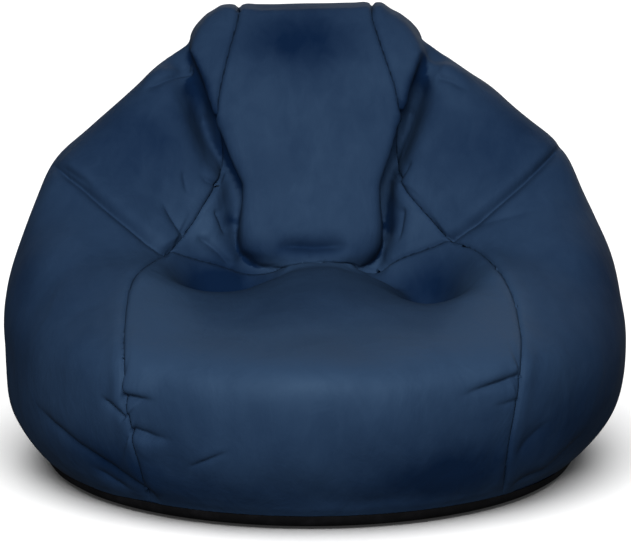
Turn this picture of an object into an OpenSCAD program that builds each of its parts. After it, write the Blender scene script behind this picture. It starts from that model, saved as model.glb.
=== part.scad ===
// Bean bag chair: a navy cover sewn from seven panels, a black zipped base, a zipped liner and a bead fill.
// Every soft surface follows one shape: a ray from a core point to a wide bulb, a sloped back and a headrest.

/* [Bag] */

// Plan radius at the widest height
bag_r = 450; // [380:5:520]
// Height of the widest level, and of the core point of the shape
belly_z = 190; // [150:5:230]
// Core point, back from the middle
core_y = 80; // [40:5:120]
// Seat height above the widest level
seat_rise = 90; // [60:5:140]
// Roundness of the lower half, higher is squarer
low_power = 5; // [3:0.5:8]

/* [Back] */

// Height of the back above the widest level
back_rise = 425; // [350:5:520]
// Slope of the shoulders, 2 is round and less is straighter
back_power = 2.05; // [1.6:0.05:2.6]

/* [Headrest] */

// Half width, half depth and half height of each headrest lobe
lobe_half = [114, 96, 262];
// Middle of the right lobe
lobe_mid = [76, 114, 384];
// Half width, half depth and half height of the middle lobe
mid_half = [120, 92, 250];
// Middle of the middle lobe
mid_mid = [0, 112, 380];
// Lean of the headrest, degrees
lean = 15; // [0:1:30]

/* [Cover] */

// Thickness of the cover cloth
cover_t = 1.6; // [0.8:0.1:3]
// Height of the seam between cover and base
hem_z = 22; // [12:1:40]
// Angle left free each side of a seam, seen from the core
seam_gap = 0.12; // [0.05:0.01:0.3]
// Radius of the sewing thread
thread_r = 0.2; // [0.1:0.05:0.4]

/* [Base] */

// Plan radius of the flat part of the base
flat_r = 335; // [250:5:380]
// Half length of the slot for the zip
slot_half = 292; // [200:1:320]
// Half width of the slot for the zip
slot_w = 14; // [8:1:20]

/* [Base zip] */

// Height of the chain's middle
zip_z = 5.4; // [4.5:0.1:8]
// Half length of the chain
chain_half = 270; // [150:5:300]
// Pitch of the teeth
tooth_pitch = 6; // [3:0.5:8]
// Tape width from the chain to its edge
tape_w = 20; // [10:1:30]
// Slider length, width and height
slider = [11, 9, 4.2];

/* [Liner] */

// Gap between cover and liner
liner_in = 11; // [5:0.5:15]
// Extra room between base and liner for the zips
liner_up = 2; // [1:0.5:15]
// Thickness of the liner cloth
liner_t = 0.8; // [0.4:0.1:2]
// Gap between liner and beads
bead_in = 3; // [2:0.5:10]
// Half length of the liner's zip
liner_chain_half = 160; // [80:5:200]
// Liner zip, back from the middle
liner_zip_y = 110; // [60:5:160]

/* [Label] */

// Blank care label: width, thickness and drop
label = [40, 0.4, 17];

/* [Hidden] */

core = [0, core_y, belly_z];
navy = "#1d2333";
black = "#101010";

// Angle up from the front of the lower end of the strips, in front and at the back
seam_mid = 44;
seam_side = 4;
seam_top = 103;
// Half width of each strip as an angle at the core, along its seams
seat_open = [[0, 28.5], [0.15, 29], [0.29, 32], [0.4, 34], [0.5, 40], [0.6, 45], [0.76, 48.5], [1, 48]];
back_open = [[0, 48], [0.36, 41], [0.5, 32], [0.61, 26.5], [0.67, 23], [0.76, 16], [0.86, 12], [1, 11]];
rear_open = [[0, 11], [0.3, 15], [0.6, 20], [1, 25]];
// Share of the seat's and of the back's rise, and the power, at each bearing from the front
rise_seat = [[0, 1], [30, 1.04], [48, 1.1], [62, 0.9], [76, 0.45], [90, 0], [180, 0]];
rise_back = [[0, 0], [30, 0], [48, 0.026], [62, 0.16], [76, 0.49], [90, 0.87], [105, 0.976], [125, 1], [180, 1]];
powers = [[0, 3.2], [40, 3], [62, 2.5], [90, 2.12], [110, 2.06], [180, 2]];
// Rows along each strip, columns across, rings on a side panel and steps along its hem
rows_seat = 20;
rows_back = 24;
rows_rear = 16;
cols = 16;
rings = 11;
steps_hem = 24;
// Rows and columns of the closed bags
lats = 32;
lons = 56;
// Power of the mean that blends the shapes
blend_power = 16;
// Step for reading the slope of the surface
probe = 0.01;
// Hem centre and radius follow from the lower half of the bulb
hem_scale = pow(1 - pow((belly_z - hem_z) / belly_z, low_power), 1 / low_power);
hem_r = bag_r * hem_scale;
hem_y = core_y * (1 - hem_scale);
hem_gap = 0.5;
// The seams across the strip lie nearer the core, so their gap is a wider angle
cross_gap = 2;
// Chain and tape sizes
tooth = [2.2, 2.4, 2.2];
tape_t = 0.8;
tape_clear = 0.15;
slider_clear = 0.3;
slider_wall = 0.7;
slider_stop = 16;
row_gap = 0.6;
bead_w = 1.4;
post_half = 0.3;
coil_r = 0.7;
liner_slider = [9, 7, 3.2];
liner_zip_z = 11.4;
liner_tape_w = 12;

// Distance from the core to bulb, seat and back along unit direction d: round in plan, its rise set by the bearing
function body_reach(d) =
  let (h = max(norm([d.x, d.y]), 1e-6), c = d.x / h, s = d.y / h, bearing = atan2(abs(d.x), -d.y),
       e = -core_y * s + sqrt(pow(bag_r, 2) - pow(core_y * c, 2)), m = smooth(clip((d.z - 0.88) / 0.12)),
       k = d.z < 0 ? belly_z : mix(seat_rise * lookup(bearing, rise_seat) + back_rise * lookup(bearing, rise_back),
                                   back_rise, m),
       v = d.z < 0 ? low_power : mix(lookup(bearing, powers), back_power, m))
  pow(pow(h / e, v) + pow(abs(d.z) / k, v), -1 / v);

// A vector in a headrest lobe's leaning, scaled axes
function in_lobe(p, half) =
  [p.x / half.x, (cos(lean) * p.y - sin(lean) * p.z) / half.y, (sin(lean) * p.y + cos(lean) * p.z) / half.z];

// Distance to a headrest lobe
function lobe(d, mid, half) =
  let (o = in_lobe(core - mid, half), v = in_lobe(d, half), a = v * v, b = v * o, q = b * b - a * (o * o - 1))
  q > 0 ? max((-b + sqrt(q)) / a, 1) : 1;

function mix(a, b, k) = a + (b - a) * k;
function smooth(k) = k * k * (3 - 2 * k);
function clip(k) = min(max(k, 0), 1);

// Distance to the whole bag: the lower half is the bulb alone
function reach(d) =
  let (r0 = body_reach(d))
  d.z <= 0 ? r0 :
  let (r = [r0, lobe(d, lobe_mid, lobe_half),
            lobe(d, [-lobe_mid.x, lobe_mid.y, lobe_mid.z], lobe_half), lobe(d, mid_mid, mid_half)],
       m = max(r), s = m * pow(sum([for (x = r) pow(x / m, blend_power)]), 1 / blend_power),
       k = smooth(clip(d.z / 0.22)))
  r0 * (1 - k) + s * k;

function sum(v, i = 0) = i < len(v) ? v[i] + sum(v, i + 1) : 0;
function unit(v) = v / norm(v);
function surf(d) = core + d * reach(d);

// Outward normal of the surface along d
function normal(d) =
  let (t = unit(cross(abs(d.z) > 0.9 ? [1, 0, 0] : [0, 0, 1], d)), u = cross(d, t), p = surf(d),
       a = surf(unit(d + t * probe)) - p, b = surf(unit(d + u * probe)) - p)
  unit(cross(a, b));

// Surface point moved inward
function inner(d, deep) = surf(d) - normal(d) * deep;

// Direction at angle a up from the front and angle b to the side
function aim(a, b) = [sin(b), -cos(b) * cos(a), cos(b) * sin(a)];

// Angle a between lo and hi where the surface crosses height z
function cross_z(b, lo, hi, z, n = 0) =
  let (m = (lo + hi) / 2)
  n > 14 ? m : surf(aim(m, b)).z < z ? cross_z(b, m, hi, z, n + 1) : cross_z(b, lo, m, z, n + 1);

// Elevation where the surface crosses height z at plan angle w
function dip(w, lo, hi, z, n = 0) =
  let (m = (lo + hi) / 2, p = surf([cos(m) * cos(w), cos(m) * sin(w), sin(m)]))
  n > 14 ? m : p.z < z ? dip(w, m, hi, z, n + 1) : dip(w, lo, m, z, n + 1);

// Direction in a strip: t runs along it, i from -1 to 1 across, gap narrows it
function seat_dir(t, i, gap) =
  let (b = i * (lookup(t, seat_open) - gap), low = cross_z(i * (seat_open[0][1] - gap), -60, 30, hem_z + hem_gap),
       top = seam_mid + seam_side * i * i - cross_gap * gap)
  aim(low + (top - low) * t, b);
function back_dir(t, i, gap) =
  let (b = i * (lookup(t, back_open) - gap), low = seam_mid + seam_side * i * i + cross_gap * gap)
  aim(low + (seam_top - cross_gap * gap - low) * t, b);
function rear_dir(t, i, gap) =
  let (b = i * (lookup(t, rear_open) - gap), last = len(rear_open) - 1,
       low = cross_z(i * (rear_open[last][1] - gap), 240, 150, hem_z + hem_gap))
  aim(seam_top + cross_gap * gap + (low - seam_top - cross_gap * gap) * t, b);

// Faces of a two-layer sheet of rows x columns points, with its edge walls
function sheet_faces(nr, nc) =
  let (n = nr * nc, at = function (r, c, k) k * n + r * nc + c)
  concat(
    [for (r = [0:nr - 2], c = [0:nc - 2]) each [[at(r, c, 0), at(r + 1, c, 0), at(r + 1, c + 1, 0)],
      [at(r, c, 0), at(r + 1, c + 1, 0), at(r, c + 1, 0)]]],
    [for (r = [0:nr - 2], c = [0:nc - 2]) each [[at(r, c, 1), at(r + 1, c + 1, 1), at(r + 1, c, 1)],
      [at(r, c, 1), at(r, c + 1, 1), at(r + 1, c + 1, 1)]]],
    [for (r = [0:nr - 2]) each [[at(r, 0, 0), at(r, 0, 1), at(r + 1, 0, 1)], [at(r, 0, 0), at(r + 1, 0, 1), at(r + 1, 0, 0)],
      [at(r, nc - 1, 0), at(r + 1, nc - 1, 1), at(r, nc - 1, 1)],
      [at(r, nc - 1, 0), at(r + 1, nc - 1, 0), at(r + 1, nc - 1, 1)]]],
    [for (c = [0:nc - 2]) each [[at(0, c, 0), at(0, c + 1, 1), at(0, c, 1)], [at(0, c, 0), at(0, c + 1, 0), at(0, c + 1, 1)],
      [at(nr - 1, c, 0), at(nr - 1, c, 1), at(nr - 1, c + 1, 1)],
      [at(nr - 1, c, 0), at(nr - 1, c + 1, 1), at(nr - 1, c + 1, 0)]]]);

// A panel from a grid of directions
module sheet(dirs) {
  flat = [for (row = dirs) each row];
  polyhedron(concat([for (d = flat) surf(d)], [for (d = flat) inner(d, cover_t)]),
    sheet_faces(len(dirs), len(dirs[0])), convexity = 8);
}

// Columns across a strip
function across() = [for (i = [0:cols]) 2 * i / cols - 1];

module seat_panel() {
  color(navy) sheet([for (r = [0:rows_seat]) [for (i = across()) seat_dir(r / rows_seat, i, seam_gap)]]);
}

module back_panel() {
  color(navy) sheet([for (r = [0:rows_back]) [for (i = across()) back_dir(r / rows_back, i, seam_gap)]]);
}

module rear_panel() {
  color(navy) sheet([for (r = [0:rows_rear]) [for (i = across()) rear_dir(r / rows_rear, i, seam_gap)]]);
}

// Directions round the edge of the right side panel: up the seat, over the back, down the rear, along the hem
function seat_seam() = [for (r = [0:rows_seat]) seat_dir(r / rows_seat, 1, 0)];
function back_seam() = [for (r = [0:rows_back]) back_dir(r / rows_back, 1, 0)];
function rear_seam() = [for (r = [0:rows_rear]) rear_dir(r / rows_rear, 1, 0)];
function hem_seam() =
  let (a = seat_seam()[0], b = rear_seam()[rows_rear], wa = atan2(a.y, a.x), wb = atan2(b.y, b.x))
  [for (k = [1:steps_hem - 1]) let (w = wb + (wa - wb) * k / steps_hem, e = dip(w, -60, 30, hem_z + hem_gap))
    [cos(e) * cos(w), cos(e) * sin(w), sin(e)]];

// Between the side pole and an edge direction
function fan_dir(d, w) =
  let (full = acos(d.x), f = (full - seam_gap) * w, s = unit([0, d.y, d.z])) [cos(f), s.y * sin(f), s.z * sin(f)];

module side_panel_right() {
  edge = concat(seat_seam(), [for (r = [1:rows_back]) back_seam()[r]], [for (r = [1:rows_rear]) rear_seam()[r]],
    hem_seam());
  n = len(edge);
  dirs = concat([[1, 0, 0]], [for (w = [1:rings], d = edge) fan_dir(d, w / rings)]);
  m = len(dirs);
  at = function (w, k, s) s * m + 1 + (w - 1) * n + k % n;
  color(navy) polyhedron(concat([for (d = dirs) surf(d)], [for (d = dirs) inner(d, cover_t)]),
    concat(
      [for (k = [0:n - 1]) each [[0, at(1, k, 0), at(1, k + 1, 0)], [m, at(1, k + 1, 1), at(1, k, 1)]]],
      [for (w = [1:rings - 1], k = [0:n - 1]) each [
        [at(w, k, 0), at(w + 1, k, 0), at(w + 1, k + 1, 0)], [at(w, k, 0), at(w + 1, k + 1, 0), at(w, k + 1, 0)],
        [at(w, k, 1), at(w + 1, k + 1, 1), at(w + 1, k, 1)], [at(w, k, 1), at(w, k + 1, 1), at(w + 1, k + 1, 1)]]],
      [for (k = [0:n - 1]) each [[at(rings, k, 0), at(rings, k, 1), at(rings, k + 1, 1)],
        [at(rings, k, 0), at(rings, k + 1, 1), at(rings, k + 1, 0)]]]), convexity = 8);
}

module side_panel_left() {
  mirror([1, 0, 0]) side_panel_right();
}

// A thread along a line of directions, four sided, in the middle of the cloth
module thread(dirs) {
  n = len(dirs);
  mids = [for (d = dirs) inner(d, cover_t / 2)];
  pts = [for (k = [0:n - 1]) let (along = unit(mids[min(k + 1, n - 1)] - mids[max(k - 1, 0)]),
      out = normal(dirs[k]), side = unit(cross(along, out)))
    each [mids[k] + out * thread_r, mids[k] + side * thread_r, mids[k] - out * thread_r, mids[k] - side * thread_r]];
  at = function (k, s) k * 4 + s % 4;
  color(navy) polyhedron(pts, concat([[0, 1, 2], [0, 2, 3], [at(n - 1, 2), at(n - 1, 1), at(n - 1, 0)],
      [at(n - 1, 3), at(n - 1, 2), at(n - 1, 0)]],
    [for (k = [0:n - 2], s = [0:3]) each [[at(k, s), at(k + 1, s + 1), at(k, s + 1)],
      [at(k, s), at(k + 1, s), at(k + 1, s + 1)]]]), convexity = 8);
}

module both_sides() {
  children();
  mirror([1, 0, 0]) children();
}

// A seam line without the few points at its ends, where seams meet
function inside_of(v) = [for (k = [1:len(v) - 2]) v[k]];

module seat_seam_threads() {
  both_sides() thread(inside_of(seat_seam()));
}

module back_seam_threads() {
  both_sides() thread(inside_of(back_seam()));
}

module rear_seam_threads() {
  both_sides() thread(inside_of(rear_seam()));
}

module cross_seam_threads() {
  thread(inside_of([for (i = across()) back_dir(0, i, 0)]));
  thread(inside_of([for (i = across()) rear_dir(0, i, 0)]));
}

module base_seam_thread() {
  color(black) translate([0, hem_y, hem_z]) rotate_extrude($fn = 96) translate([hem_r - cover_t / 2, 0])
    circle(thread_r, $fn = 12);
}

// Shallow dish from the hem down to the flat base
module dish() {
  edge = [for (a = [0:15:90]) [flat_r + (hem_r - flat_r) * sin(a), (hem_z - hem_gap) * (1 - cos(a))]];
  skin = [for (a = [90:-15:0]) [flat_r + (hem_r - flat_r - cover_t) * sin(a),
    cover_t + (hem_z - hem_gap - cover_t) * (1 - cos(a))]];
  translate([0, hem_y, 0]) rotate_extrude($fn = 96)
    polygon(concat([[0, 0]], edge, skin, [[0, cover_t]]));
}

// Half of the base, with the folded edge that the zip tape is sewn to
module base_half(s) {
  fold_h = zip_z - tape_t / 2 - tape_clear;
  color(black) difference() {
    union() {
      intersection() {
        dish();
        translate([-bag_r, s > 0 ? hem_gap : -bag_r - hem_gap, -1]) cube([2 * bag_r, bag_r, 2 * hem_z]);
      }
      translate([-slot_half - cover_t, s > 0 ? slot_w : -slot_w - cover_t, 0])
        cube([2 * (slot_half + cover_t), cover_t, fold_h]);
    }
    translate([-slot_half, -slot_w, -1]) cube([2 * slot_half, 2 * slot_w, 2 * hem_z]);
  }
}

module base_panel_front() {
  base_half(-1);
}

module base_panel_rear() {
  base_half(1);
}

// One tape of a zip along X: inner edge, width, thickness, half length and the side it lies on
module tape(y, z, s, gap, w, t, half) {
  color(black) translate([-half, y + (s > 0 ? gap : -gap - w), z - t / 2]) cube([2 * half, w, t]);
}

module base_zip_tape_front() {
  tape(0, zip_z, -1, row_gap + tooth.y + tape_clear, tape_w, tape_t, slot_half - 2);
}

module base_zip_tape_rear() {
  tape(0, zip_z, 1, row_gap + tooth.y + tape_clear, tape_w, tape_t, slot_half - 2);
}

// A row of moulded teeth on a bead; a narrow gap between the rows lets the slider's post pass
module teeth(s) {
  n = floor(chain_half / tooth_pitch);
  color("#2b2b2b") union() {
    for (k = [-n:n - 1])
      translate([(k + (s > 0 ? 0.5 : 0)) * tooth_pitch - tooth.x / 2, s > 0 ? row_gap : -row_gap - tooth.y,
        zip_z - tooth.z / 2]) cube(tooth);
    translate([-chain_half, s > 0 ? row_gap + tooth.y - bead_w : -row_gap - tooth.y, zip_z - tape_t / 2])
      cube([2 * chain_half, bead_w, tape_t]);
  }
}

module base_zip_teeth_front() {
  teeth(-1);
}

module base_zip_teeth_rear() {
  teeth(1);
}

// Stops clamped on both tapes beyond the chain's ends
module base_zip_stops() {
  for (s = [-1, 1])
    color("#4a4a4a") translate([s * (chain_half + 5) - 1.5, -tooth.y * 1.2, zip_z - tooth.z / 2])
      cube([3, tooth.y * 2.4, tooth.z]);
}

// Slider body on a chain: plates joined by a post between the rows, flanges with a slot for the tapes, no pull tab
module slider_body(size, high, slot) {
  difference() {
    union() {
      translate([-size.x / 2, -size.y / 2, -size.z / 2]) cube(size);
      translate([-size.x / 4, -0.8, -size.z / 2 - 0.9]) cube([size.x / 2, 1.6, 1]);
    }
    for (s = [-1, 1]) {
      translate([-size.x, s > 0 ? post_half : slider_wall - size.y / 2, -high / 2])
        cube([2 * size.x, size.y / 2 - slider_wall - post_half, high]);
      translate([-size.x, s > 0 ? post_half : -size.y, -slot / 2]) cube([2 * size.x, size.y - post_half, slot]);
      translate([size.x / 2, s * size.y / 2, 0]) rotate([0, 0, 45]) cube([3, 3, 2 * size.z], center = true);
    }
  }
}

module base_zip_slider() {
  color("#5a5a5c") translate([-chain_half + slider_stop, 0, zip_z])
    slider_body(slider, tooth.z + 2 * slider_clear, tape_t + 2 * slider_clear);
}

module care_label() {
  color("#e8e6e0") translate([-label.x / 2, hem_y + hem_r + 0.2, hem_z - label.z]) cube(label);
}

// Closed surface inside the cover: more room over the base than elsewhere
function deep_at(d, deep) = deep + liner_up * smooth(clip((-d.z - 0.25) / 0.35));
function bag_dirs() = concat([[0, 0, 1]],
  [for (r = [1:lats - 1], c = [0:lons - 1]) let (e = 90 - 180 * r / lats, w = 360 * c / lons)
    [cos(e) * cos(w), cos(e) * sin(w), sin(e)]], [[0, 0, -1]]);

function bag_faces(o, flip) =
  let (at = function (r, c) o + 1 + (r - 1) * lons + c % lons, last = o + 1 + (lats - 1) * lons,
    out = concat([for (c = [0:lons - 1]) each [[o, at(1, c + 1), at(1, c)],
        [last, at(lats - 1, c), at(lats - 1, c + 1)]]],
      [for (r = [1:lats - 2], c = [0:lons - 1]) each [[at(r, c), at(r, c + 1), at(r + 1, c + 1)],
        [at(r, c), at(r + 1, c + 1), at(r + 1, c)]]]))
  flip ? [for (f = out) [f[2], f[1], f[0]]] : out;

module bag(deep) {
  polyhedron([for (d = bag_dirs()) inner(d, deep_at(d, deep))], bag_faces(0, false), convexity = 8);
}

module liner() {
  color("#e9e9e4") difference() {
    bag(liner_in);
    bag(liner_in + liner_t);
    translate([-liner_chain_half - 10, liner_zip_y - 6, 0]) cube([2 * liner_chain_half + 20, 12, 30]);
  }
}

module bead_fill() {
  color("#f4f4f2") bag(liner_in + liner_t + bead_in);
}

module liner_zip_tape_front() {
  tape(liner_zip_y, liner_zip_z, -1, row_gap + 2 * coil_r + tape_clear, liner_tape_w, 0.6, liner_chain_half + 8);
}

module liner_zip_tape_rear() {
  tape(liner_zip_y, liner_zip_z, 1, row_gap + 2 * coil_r + tape_clear, liner_tape_w, 0.6, liner_chain_half + 8);
}

module liner_zip_coils() {
  for (s = [-1, 1])
    color("#d8d8d2") translate([-liner_chain_half, liner_zip_y + s * (coil_r + row_gap), liner_zip_z])
      rotate([0, 90, 0]) cylinder(h = 2 * liner_chain_half, r = coil_r, $fn = 24);
}

module liner_zip_stops() {
  for (s = [-1, 1])
    color("#b0b0b0") translate([s * (liner_chain_half + 3) - 1, liner_zip_y - 1.8, liner_zip_z - 0.9])
      cube([2, 3.6, 1.8]);
}

module liner_zip_slider() {
  color("#b0b0b0") translate([-liner_chain_half + 8, liner_zip_y, liner_zip_z])
    slider_body(liner_slider, 2 * coil_r + 2 * slider_clear, 0.6 + 2 * slider_clear);
}

seat_panel();
back_panel();
rear_panel();
side_panel_left();
side_panel_right();
base_panel_front();
base_panel_rear();
seat_seam_threads();
back_seam_threads();
rear_seam_threads();
cross_seam_threads();
base_seam_thread();
base_zip_tape_front();
base_zip_tape_rear();
base_zip_teeth_front();
base_zip_teeth_rear();
base_zip_stops();
base_zip_slider();
care_label();
liner();
liner_zip_tape_front();
liner_zip_tape_rear();
liner_zip_coils();
liner_zip_stops();
liner_zip_slider();
bead_fill();
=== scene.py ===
"""Bean bag chair: a sewn cover over a bead bag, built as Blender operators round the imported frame."""

import math

import bmesh
import bpy
import numpy as np
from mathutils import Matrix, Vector, kdtree, noise


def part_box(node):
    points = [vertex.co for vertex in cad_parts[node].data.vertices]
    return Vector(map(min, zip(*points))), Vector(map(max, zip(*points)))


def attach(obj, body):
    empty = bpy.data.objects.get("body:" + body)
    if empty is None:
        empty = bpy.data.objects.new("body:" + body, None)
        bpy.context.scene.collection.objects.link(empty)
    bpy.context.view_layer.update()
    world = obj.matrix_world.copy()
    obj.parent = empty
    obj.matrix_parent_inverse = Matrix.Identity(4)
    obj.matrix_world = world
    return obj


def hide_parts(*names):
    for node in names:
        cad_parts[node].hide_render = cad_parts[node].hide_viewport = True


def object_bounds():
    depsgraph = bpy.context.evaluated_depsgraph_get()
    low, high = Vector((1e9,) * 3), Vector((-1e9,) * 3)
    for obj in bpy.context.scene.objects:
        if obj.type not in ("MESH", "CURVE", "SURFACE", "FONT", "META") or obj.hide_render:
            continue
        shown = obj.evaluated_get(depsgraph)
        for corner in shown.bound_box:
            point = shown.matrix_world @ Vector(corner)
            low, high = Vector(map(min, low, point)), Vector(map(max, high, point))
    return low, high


bl_info = {
    "name": "Bean bag chair",
    "version": (1, 0, 0),
    "blender": (4, 5, 0),
    "location": "View3D > Sidebar > Bean bag",
    "description": "Builds a bean bag chair: sewn cover panels, base, zips, liner and bead fill",
    "category": "Object",
}

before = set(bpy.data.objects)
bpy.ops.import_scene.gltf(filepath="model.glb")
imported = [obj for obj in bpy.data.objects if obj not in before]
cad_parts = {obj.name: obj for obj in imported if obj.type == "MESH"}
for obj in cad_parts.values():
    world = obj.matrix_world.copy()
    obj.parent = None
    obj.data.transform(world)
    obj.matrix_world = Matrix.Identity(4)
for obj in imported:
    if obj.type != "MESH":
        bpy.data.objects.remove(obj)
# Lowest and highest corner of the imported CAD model
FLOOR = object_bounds()

# Sizes read from the frame, in metres: half the bag's width, then the height, radius and middle of its hem
HALF_W = (FLOOR[1][0] - FLOOR[0][0]) / 2
HEM_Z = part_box("side_panel_right")[0][2]
BASE_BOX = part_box("base_panel_rear")
HEM_R = (BASE_BOX[1][0] - BASE_BOX[0][0]) / 2
HEM_Y = BASE_BOX[1][1] - HEM_R

# Point inside the bag that its surface is reckoned from, at the height of the widest level
CORE = np.array([0.0, 0.08, 0.19])
# Bearing from the front in degrees, rise above the core, power of the slope
RISE = (
    (0, 0.105, 3.3), (25, 0.105, 3.3), (42, 0.114, 2.9), (60, 0.165, 2.4), (76, 0.300, 2.1),
    (84, 0.405, 1.85), (92, 0.456, 1.77), (105, 0.460, 1.84), (125, 0.457, 1.78), (180, 0.445, 1.75),
)
# Rise of the crown, how upright a direction is where the crown takes over, and how far back it reaches
APEX = 0.30
CROWN_FROM, CROWN_SPAN = 0.93, 0.07
CROWN_BACK, CROWN_BACK_SPAN = 0.12, 0.12
# The belly below the core: height it falls through, and how fast it draws in, in front and at the sides
FALL, DRAW, ROUND_FRONT, ROUND_SIDE = 0.168, 0.144, 2.1, 3.2
# Bearing in degrees where the side belly starts to take over from the front one, and the span of that
BELLY_FROM, BELLY_SPAN = 35, 40
# Longest distance from the core that is searched for the belly, and how often the search is halved
BELLY_FAR, HALVINGS = 0.8, 24
# Headrest sections from the bottom up: height, front, middle, half width, power of the rounded outline
HEADREST = (
    (0.284, 0.022, -0.004, 0.060, 2.6),
    (0.289, -0.006, -0.005, 0.080, 3.0),
    (0.299, -0.024, -0.008, 0.097, 3.8),
    (0.318, -0.033, -0.009, 0.105, 5.0),
    (0.350, -0.027, -0.008, 0.105, 8.0),
    (0.380, -0.016, -0.007, 0.101, 11.0),
    (0.410, -0.003, -0.006, 0.099, 14.0),
    (0.455, 0.013, -0.009, 0.117, 16.0),
    (0.508, 0.034, -0.011, 0.136, 16.0),
    (0.560, 0.056, -0.012, 0.152, 16.0),
    (0.590, 0.074, -0.014, 0.164, 14.0),
    (0.604, 0.084, -0.015, 0.160, 10.0),
    (0.618, 0.094, -0.016, 0.151, 8.0),
    (0.634, 0.108, -0.018, 0.137, 6.0),
    (0.653, 0.126, -0.023, 0.106, 4.6),
)
# Seams over the top and down the back: angle up from the front, and the angle to the left and to the right
REAR_SEAMS = (
    (80, 14.0, 10.0), (95.5, 13.9, 10.1), (103, 13.5, 10.5), (133, 15.5, 15.0), (163, 20.5, 20.0),
    (215, 26.0, 26.0),
)
# Seams up the front: height across the line of sight, and how far left and right they lie
FRONT_SEAMS = (
    (-0.080, 0.223, 0.255), (-0.025, 0.236, 0.264), (0.012, 0.243, 0.266), (0.050, 0.253, 0.272),
    (0.077, 0.259, 0.277), (0.120, 0.264, 0.283), (0.183, 0.266, 0.287), (0.225, 0.265, 0.282),
    (0.250, 0.262, 0.275), (0.268, 0.256, 0.267), (0.280, 0.245, 0.259), (0.292, 0.229, 0.248),
    (0.305, 0.207, 0.234), (0.314, 0.200, 0.217), (0.322, 0.193, 0.189), (0.351, 0.172, 0.166),
    (0.373, 0.160, 0.146), (0.396, 0.144, 0.126), (0.425, 0.135, 0.118), (0.452, 0.136, 0.119),
    (0.503, 0.145, 0.125), (0.553, 0.135, 0.112), (0.600, 0.124, 0.096), (0.646, 0.112, 0.082),
)
# Line of sight from the front that the seams and creases of the front are laid out along
TILT = math.radians(13)
# Where the front seams hand over to the rear ones
HANDOVER, HANDOVER_SPAN = 0.15, 0.06
# Angle up from the front where the seat meets the back, at three places across, and where the rear begins
MID = ((-0.205, 46.0), (0.0, 44.0), (0.190, 53.0))
CREST = 103.0
# Narrow valleys that the headrest stands in, from the back down
VALLEYS = (
    ((-0.206, 0.125, 0.597), (-0.186, 0.095, 0.570), (-0.168, 0.070, 0.535), (-0.152, 0.058, 0.495),
     (-0.138, 0.055, 0.460), (-0.121, 0.054, 0.425), (-0.113, 0.052, 0.390), (-0.119, 0.045, 0.355),
     (-0.117, 0.022, 0.320), (-0.103, -0.004, 0.295)),
    ((0.187, 0.125, 0.597), (0.168, 0.092, 0.570), (0.151, 0.068, 0.537), (0.135, 0.056, 0.500),
     (0.120, 0.055, 0.463), (0.105, 0.052, 0.428), (0.098, 0.052, 0.390), (0.103, 0.045, 0.352),
     (0.100, 0.020, 0.315), (0.086, -0.004, 0.294)),
)
# Depth of a valley along its length, and the width and power of its section
VALLEY_DEPTH = ((0, 0.0), (0.12, 0.060), (0.5, 0.095), (0.85, 0.085), (1, 0.045))
VALLEY_WIDTH, VALLEY_POWER = 0.019, 1.6
# Soft hollows and swellings: centre, size, push
SWELLS = (
    ((0.010, -0.150, 0.290), (0.110, 0.120, 0.10), (0, 0, 0.012)),
    ((-0.150, -0.080, 0.285), (0.062, 0.050, 0.09), (0, 0.010, -0.058)),
    ((-0.095, -0.040, 0.285), (0.045, 0.030, 0.09), (0, 0, -0.026)),
    ((0.165, -0.105, 0.285), (0.056, 0.070, 0.09), (0, 0.010, -0.064)),
    ((0.105, -0.040, 0.285), (0.045, 0.030, 0.09), (0, 0, -0.026)),
    ((-0.220, -0.180, 0.280), (0.045, 0.120, 0.08), (0, -0.006, 0.014)),
    ((0.235, -0.180, 0.280), (0.045, 0.120, 0.08), (0, -0.006, 0.016)),
    ((0.000, -0.330, 0.290), (0.160, 0.100, 0.07), (0, 0, -0.010)),
    ((-0.340, -0.110, 0.310), (0.090, 0.130, 0.060), (-0.008, -0.012, 0.014)),
    ((0.340, -0.100, 0.320), (0.090, 0.130, 0.060), (0.008, -0.012, 0.014)),
    ((-0.380, 0.060, 0.430), (0.070, 0.160, 0.055), (-0.018, 0, 0.006)),
    ((0.370, 0.060, 0.440), (0.070, 0.160, 0.055), (0.018, 0, 0.006)),
    ((-0.420, 0.060, 0.350), (0.080, 0.150, 0.11), (-0.008, 0, 0.002)),
    ((0.000, 0.100, 0.460), (0.500, 0.300, 0.140), (-0.007, 0, 0)),
    ((-0.205, 0.110, 0.570), (0.050, 0.120, 0.045), (-0.003, 0, 0.004)),
    ((-0.160, 0.190, 0.610), (0.040, 0.060, 0.040), (-0.012, 0, 0.008)),
    ((0.215, 0.110, 0.565), (0.050, 0.120, 0.045), (-0.004, 0, -0.005)),
    ((-0.022, 0.090, 0.615), (0.055, 0.080, 0.030), (0, 0.010, -0.004)),
    ((-0.020, 0.140, 0.650), (0.050, 0.080, 0.030), (0, 0, -0.007)),
)
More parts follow.
